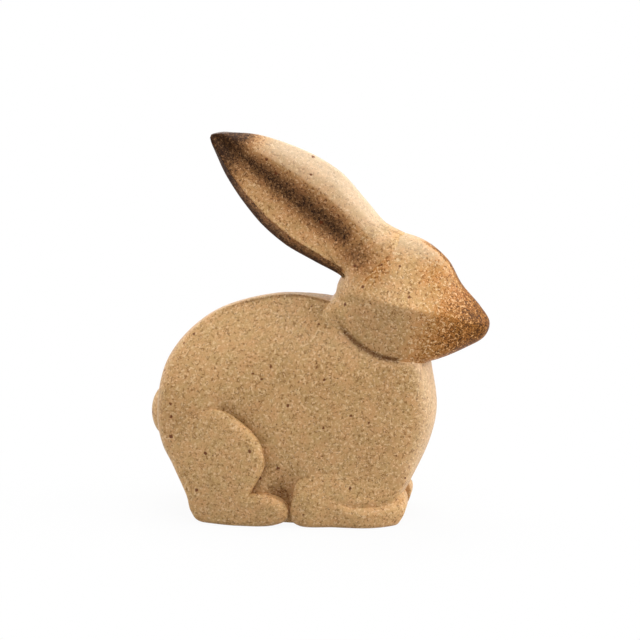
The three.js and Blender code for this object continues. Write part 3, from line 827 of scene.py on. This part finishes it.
def ear_face(x, z):
    """The ear's outer face, run smoothly into the head at its root."""
    along, across = ear_places(x, z)
    head, inset = head_form(x, z), ear_template.inset(x, z)
    root = soft_highest(EAR_ROOT_BLEND, ear_form(x, z), head)
    sunk = EAR_ROOT_SINK * fade_mm(along, *EAR_ROOT_SINK_START)
    tucked = fade_mm(inset, *EAR_TUCK_DEPTHS) * fade_mm(along, *EAR_TUCK_START)
    tucked = tucked * fade_mm(head, *EAR_TUCK_HALF_WIDTHS)
    rounded_edge = EAR_EDGE * (1 - rise(inset / EAR_EDGE))
    return blend(root, head - EAR_TUCK, tucked) - sunk - rounded_edge


def ear_stain(x, y, z):
    """Stain on the tip, in the hollow, on the lower bevel and at the root, and a warm tint between."""
    along, across = ear_places(x, z)
    cleared = TIP_CLEARED * fade(across, *TIP_CLEARED_ACROSS) * fade_mm(along, *TIP_CLEARED_START)
    tip = TIP_STAIN * fade_mm(along, *TIP_STAIN_START) * (1 - cleared)
    off_groove = across - GROOVE_STAIN_LINE
    groove_width = np.where(off_groove > 0, GROOVE_STAIN_ABOVE, GROOVE_STAIN_BELOW)
    groove = GROOVE_STAIN * band(off_groove, groove_width) * fade_mm(along, *GROOVE_STAIN_START)
    ends = sum(fade_mm(along, *end) for end in BEVEL_ENDS)
    edge = BEVEL_STAIN + BEVEL_EDGE_STAIN * fade(across, *BEVEL_EDGE_ACROSS)
    bevel = np.maximum(edge, BEVEL_END_STAIN * ends)
    bevel = bevel * fade(across, *BEVEL_ACROSS) * fade_mm(along, *BEVEL_STAIN_START)
    warm = fade(across, *WARM_FROM_ACROSS) * fade(across, *WARM_TO_ACROSS)
    warm = WARM_STAIN * warm * fade_mm(along, *WARM_STAIN_START)
    root = band(along - ROOT_STAIN_ALONG, ROOT_STAIN_LENGTH)
    root = ROOT_STAIN * root * band(across - ROOT_STAIN_ACROSS, ROOT_STAIN_WIDTH)
    return np.max((tip, groove, bevel, warm, root), axis=0)


def ear_highlight(x, y, z):
    """Painted highlight on the two facets over the upper ridge."""
    along, across = ear_places(x, z)
    facets = sum(fade(across, *facet) for facet in FACETS_ACROSS)
    return FACET_HIGHLIGHT * facets * stretch(along, *EAR_HIGHLIGHT_STRETCH)


def let_in(template, around, rings, seat, face):
    """A piece let into the right side: flat on its seat, and carved on its outer side."""
    face_levels, wall_levels, seat_levels = 1.6, 0.2, 0.2
    bm = ball(around, rings)
    turn, level = turn_and_level(bm)
    x, y, z = spread(template, face, turn, np.clip(level / face_levels, 0, 1))
    down_wall = np.clip((level - face_levels) / wall_levels, 0, 1)
    over_seat = np.clip((2 - level) / seat_levels, 0, 1)
    x, z = (blend(middle, place, over_seat) for middle, place in zip(template.centre, (x, z)))
    move_points(bm, x, -blend(y, seat, down_wall), z)
    return bm


def put_pair(piece, shape, right, material, layers):
    """Puts a piece of the right side and its mirror image in place."""
    for side, mirror in SIDES.items():
        bm = right.copy()
        bmesh.ops.scale(bm, verts=bm.verts, vec=(1, mirror, 1))
        put_in_place(f"{side}_{piece}_{shape}", bm, material, layers, f"{side}_{piece}")
    right.free()


ear_wood = speckled_wood("ear_stained_wood", EAR_STAIN)
ear_layers = {"stain": ear_stain, "painted_highlight": ear_highlight}
right_ear = let_in(ear_template, *EAR_GRID, EAR_HALF_PARTING, ear_face)
put_pair("ear", "leaf", right_ear, ear_wood, ear_layers)

# Tail: a small turned button, let into the rump on its own dowel.
# Its root flares a little to meet the rump.
TAIL_GRID = (96, 64)
TAIL_RADII = np.array((5.4, 7, 8.4)) * MM
TAIL_CENTRE = np.array((-47.2, 0, 31)) * MM
TAIL_FLARE = 0.2
TAIL_FLARE_SHARES = (-0.6, 0.3)
tail = ball(*TAIL_GRID)
tail_points = points_of(tail)
flare = 1 + TAIL_FLARE * fade(tail_points[:, 0], *TAIL_FLARE_SHARES)
tail_points[:, 1:] *= flare[:, None]
move_points(tail, *(tail_points * TAIL_RADII + TAIL_CENTRE).T)
put_in_place("tail_button", tail, tan_wood, {}, "tail")

# Haunches: two blocks let into the sides of the body and carved down flush with it at the back.
# Their front edges are left standing as a rounded ridge that runs down to the hind feet.
HAUNCH_GRID = (208, 112)
HAUNCH_CENTRE = (-28, 19)
HAUNCH_TEMPLATE = (
    (-30, 35.6), *HAUNCH_CREASE[1:], (-21, 5), (-30, 2.4), (-38, 4), (-42.6, 14), (-43.6, 24), (-38.4, 33),
)
HAUNCH_RELIEF = 2.5 * MM
HAUNCH_RELIEF_STRETCH = (-40, -19)
HAUNCH_EDGE = 3.2 * MM
HAUNCH_SOFT_EDGE = 9 * MM
HAUNCH_SOFT_STRETCH = (-24, -30)
FLUSH = 0.05 * MM
LEG_SEAT = 9 * MM
haunch_template = Template(HAUNCH_CENTRE, HAUNCH_TEMPLATE)


def haunch_face(x, z):
    """Half width over a haunch, which grows out of the side towards its front edge."""
    edge = blend(HAUNCH_EDGE, HAUNCH_SOFT_EDGE, fade_mm(x, *HAUNCH_SOFT_STRETCH))
    swell = HAUNCH_RELIEF * fade_mm(x, *HAUNCH_RELIEF_STRETCH)
    form = body_form(x, z) + FLUSH + swell * rise(haunch_template.inset(x, z) / edge)
    return np.maximum(form, LEG_SEAT + FLUSH)


right_haunch = let_in(haunch_template, *HAUNCH_GRID, LEG_SEAT, haunch_face)
put_pair("haunch", "block", right_haunch, tan_wood, {})

# Hind feet: long low blocks under the haunches, flat below and round at the toes.
# They are let in below the haunches and carved flush with them at the heel.
HIND_FOOT_GRID = (192, 96)
HIND_FOOT_CENTRE = (-24, 3)
HIND_FOOT_TEMPLATE = (
    (-39.2, 5), (-30, 8.6), (-19, 10.2), (-11.6, 9.4), (-7.1, 6), (-7.3, 2.4), (-12.5, -0.2), (-22, -4.6),
    (-32, -3.6), (-37.4, 0),
)
HIND_FOOT_RELIEF = 2.2 * MM
HIND_FOOT_RELIEF_STRETCH = (-36, -23)
HIND_FOOT_EDGE = 3 * MM
HEEL_STRETCH = (-16, -20)
FOOT_ROUND = 1.4 * MM
GROUND = 0
hind_foot_template = Template(HIND_FOOT_CENTRE, HIND_FOOT_TEMPLATE)


def base_round(z):
    """How far a foot draws in at its base, where its lower edge is rubbed round."""
    return FOOT_ROUND * (1 - rise(np.maximum(z, 0) / FOOT_ROUND))


def hind_foot_face(x, z):
    """Half width over a hind foot: the toes stand out from the side, and the heel follows the haunch."""
    swell = HIND_FOOT_RELIEF * fade_mm(x, *HIND_FOOT_RELIEF_STRETCH)
    toe = body_form(x, z) + swell * rise(hind_foot_template.inset(x, z) / HIND_FOOT_EDGE)
    heel = haunch_face(x, z) * fade_mm(x, *HEEL_STRETCH)
    return np.maximum(np.maximum(toe, heel) + FLUSH - base_round(z), LEG_SEAT + FLUSH)


right_hind_foot = let_in(hind_foot_template, *HIND_FOOT_GRID, LEG_SEAT, hind_foot_face)
cut_flat(right_hind_foot, GROUND)
put_pair("hind_foot", "block", right_hind_foot, tan_wood, {})

# Front feet: the lower end of each foreleg with its paw, let in under the chest.
# The foreleg runs up flush into the side, and the paw stands out from it below a crisp top edge.
FRONT_FOOT_GRID = (288, 176)
FRONT_FOOT_CENTRE = (11, 5)
FRONT_FOOT_TEMPLATE = (
    (-3, 0), (-5.6, 1.8), (-6.3, 4.6), (-5.7, 9), (-4, 14.6), (4, 17), (15, 15.4), (23.6, 12), (27.8, 8.9),
    (28.4, 5), (26.6, 1), (23, -3), (16, -5), (5, -4),
)
FRONT_LEG_RELIEF = 1.2 * MM
FRONT_LEG_REGION = ((8, -2), (15, 8))
FRONT_LEG_EDGE = 2.4 * MM
FRONT_FOOT_PROUD = 0.3 * MM
FRONT_FOOT_PROUD_START = (0, 4)
PAW_SEAT = 5 * MM
PAW_RELIEF = 1.8 * MM
PAW_RELIEF_STRETCH = (4, 17)
PAW_CREASE = ((4, 9.2), (8.2, 7.7), (12.3, 6.2), (20.6, 6.6), (27.3, 8.4))
PAW_CREASE_DEPTH = 0.6 * MM
PAW_CREASE_WIDTH = 1.2 * MM
PAW_BEVEL = 3 * MM
PAW_TIP = 11 * MM
PAW_TIP_STRETCH = (8, 18)
PAW_ROUND = 8 * MM
front_foot_template = Template(FRONT_FOOT_CENTRE, FRONT_FOOT_TEMPLATE)


def front_foot_face(x, z):
    """Half width over a front foot: a foreleg that fades into the side, and a paw rounded at its tip."""
    inset = front_foot_template.inset(x, z)
    leg = FRONT_LEG_RELIEF * region(x, z, *FRONT_LEG_REGION) * rise(inset / FRONT_LEG_EDGE)
    below = np.interp(x, *(np.array(PAW_CREASE).T * MM)) - z
    crease = PAW_CREASE_DEPTH * band(below, PAW_CREASE_WIDTH)
    paw = (PAW_RELIEF * rise(below / PAW_BEVEL) - crease) * fade_mm(x, *PAW_RELIEF_STRETCH)
    side = body_flats(x, z) + FRONT_FOOT_PROUD * fade_mm(inset, *FRONT_FOOT_PROUD_START)
    tip = blend(PAW_TIP, side, rise(inset / PAW_ROUND))
    form = np.maximum(body_form(x, z), blend(side, tip, fade_mm(x, *PAW_TIP_STRETCH)))
    return np.maximum(form + leg + paw + FLUSH - base_round(z), PAW_SEAT + FLUSH)


right_front_foot = let_in(front_foot_template, *FRONT_FOOT_GRID, PAW_SEAT, front_foot_face)
cut_flat(right_front_foot, GROUND)
put_pair("front_foot", "block", right_front_foot, tan_wood, {})

# Dowels: plain beech pins inside the glued joints, out of sight once the figure is together.
# They are the frame's own solids, given a pale wood with a fine grain.
BEECH = (0.66, 0.45, 0.25)
BEECH_GRAIN = (0.5, 0.3, 0.15)
BEECH_ROUGHNESS = 0.7
dowel_wood = bpy.data.materials.new("dowel_beech")
dowel_wood.use_nodes = True
dowel_tree = dowel_wood.node_tree
dowel_place = millimetres(dowel_tree)
beech = plain_colour(dowel_place, BEECH).tinted(BEECH_GRAIN, noise(dowel_place, per_mm=1.4, detail=4))
dowel_shader = dowel_tree.nodes["Principled BSDF"]
dowel_tree.links.new(beech.socket, dowel_shader.inputs["Base Color"])
dowel_shader.inputs["Roughness"].default_value = BEECH_ROUGHNESS
for node_name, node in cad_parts.items():
    if node_name.endswith("_dowel"):
        node.data.materials.clear()
        node.data.materials.append(dowel_wood)

# Floor: a matt white table top that the figure stands on.
# It keeps the figure's soft shadow and turns plain white further off.
FLOOR_SIZE = 6.0
FLOOR_WHITE = (0.63, 0.63, 0.63, 1)
FLOOR_ROUGHNESS = 0.9
SHADOW_SHARE = 0.06
SHADOW_REACH = (0.05, 0.13)
PLAIN_WHITE = (1, 1, 1, 1)


def seen_rays(tree):
    """1 for a ray by which the camera sees a surface, straight, mirrored or through glass, or else 0."""
    rays = tree.nodes.new("ShaderNodeLightPath").outputs
    kinds = ("Camera", "Glossy", "Transmission")
    straight, mirrored, through = (Socket(rays[f"Is {kind} Ray"]) for kind in kinds)
    return (straight + mirrored + through).clamped()


floor_mesh = bmesh.new()
bmesh.ops.create_grid(floor_mesh, x_segments=1, y_segments=1, size=FLOOR_SIZE / 2)
floor_data = bpy.data.meshes.new("floor")
floor_mesh.to_mesh(floor_data)
floor_mesh.free()
floor = bpy.data.objects.new("floor", floor_data)
bpy.context.scene.collection.objects.link(floor)
floor_paint = bpy.data.materials.new("floor_white")
floor_paint.use_nodes = True
floor_tree = floor_paint.node_tree
floor_shader = floor_tree.nodes["Principled BSDF"]
floor_shader.inputs["Base Color"].default_value = FLOOR_WHITE
floor_shader.inputs["Roughness"].default_value = FLOOR_ROUGHNESS
floor_shader.inputs["Specular IOR Level"].default_value = 0
spot = Socket(floor_tree.nodes.new("ShaderNodeTexCoord").outputs["Object"])
from_middle = spot.node("ShaderNodeVectorMath", {"operation": "LENGTH"}, {0: spot}, "Value")
near, far = SHADOW_REACH
shadowed = from_middle.below(far, 1 / (far - near)) * SHADOW_SHARE
white = seen_rays(floor_tree) * (1 - shadowed)
glow = spot.node("ShaderNodeEmission", {}, {"Color": PLAIN_WHITE, "Strength": 1.0})
mixed = spot.node("ShaderNodeMixShader", {}, {0: white, 1: Socket(floor_shader.outputs[0]), 2: glow})
floor_tree.links.new(mixed.socket, floor_tree.nodes["Material Output"].inputs["Surface"])
floor_data.materials.append(floor_paint)

# Light: a soft white room, with broad lamps above and beyond the nose and weaker ones on the other sides.
# Each lamp has a place, a width in metres and a power in watts, and points at the middle of the figure.
ROOM_STRENGTH = 0.25
LAMP_TARGET = Vector((0, 0, 0.055))
LAMPS = {
    "above": ((0.1, -0.4, 1.0), 0.7, 5.6),
    "over_back": ((-0.1, 0.35, 1.1), 0.7, 6.0),
    "beyond_nose": ((1.0, 0.1, 0.5), 0.8, 12.0),
    "beyond_tail": ((-1.0, 0.15, 0.45), 0.8, 5.0),
    "behind": ((-0.4, 1.0, 0.5), 0.9, 3.0),
}
world = bpy.data.worlds.new("white_room")
bpy.context.scene.world = world
world.use_nodes = True
world_tree = world.node_tree
room = world_tree.nodes["Background"]
room.inputs["Color"].default_value = PLAIN_WHITE
strength = ROOM_STRENGTH + seen_rays(world_tree) * (1 - ROOM_STRENGTH)
world_tree.links.new(strength.socket, room.inputs["Strength"])
for lamp_name, (lamp_place, lamp_width, lamp_power) in LAMPS.items():
    lamp_data = bpy.data.lights.new(lamp_name, "AREA")
    lamp_data.size = lamp_width
    lamp_data.energy = lamp_power
    lamp = bpy.data.objects.new(lamp_name, lamp_data)
    lamp.location = lamp_place
    lamp.rotation_mode = "QUATERNION"
    lamp.rotation_quaternion = (LAMP_TARGET - lamp.location).to_track_quat("-Z", "Y")
    bpy.context.scene.collection.objects.link(lamp)

# Camera: a long lens, a little ahead of square on and a little above the figure.
# Its aim, its angles and the width of its view are set by the figure's outline in the photograph.
VIEW_TARGET = Vector((0.000144, 0, 0.0609))
VIEW_DISTANCE = 0.8
VIEW_LIMIT = 20
VIEW_AZIMUTH = math.radians(6.84)
VIEW_ELEVATION = math.radians(10.79)
VIEW_ROLL = math.radians(0.3)
VIEW_WIDTH = 0.1976
SENSOR = 36.0
to_camera = Vector((
    math.sin(VIEW_AZIMUTH) * math.cos(VIEW_ELEVATION),
    -math.cos(VIEW_AZIMUTH) * math.cos(VIEW_ELEVATION),
    math.sin(VIEW_ELEVATION),
))
level_right = Vector((math.cos(VIEW_AZIMUTH), math.sin(VIEW_AZIMUTH), 0))
level_up = to_camera.cross(level_right)
right = math.cos(VIEW_ROLL) * level_right + math.sin(VIEW_ROLL) * level_up
up = math.cos(VIEW_ROLL) * level_up - math.sin(VIEW_ROLL) * level_right
camera_data = bpy.data.cameras.new("camera")
camera_data.sensor_width = SENSOR
camera_data.lens = SENSOR * VIEW_DISTANCE / VIEW_WIDTH
camera_data.clip_end = VIEW_LIMIT
camera = bpy.data.objects.new("camera", camera_data)
turned = Matrix((right, up, to_camera)).transposed().to_4x4()
camera.matrix_world = Matrix.Translation(VIEW_TARGET + VIEW_DISTANCE * to_camera) @ turned
bpy.context.scene.collection.objects.link(camera)
bpy.context.scene.camera = camera
bpy.context.scene.view_settings.view_transform = "Standard"
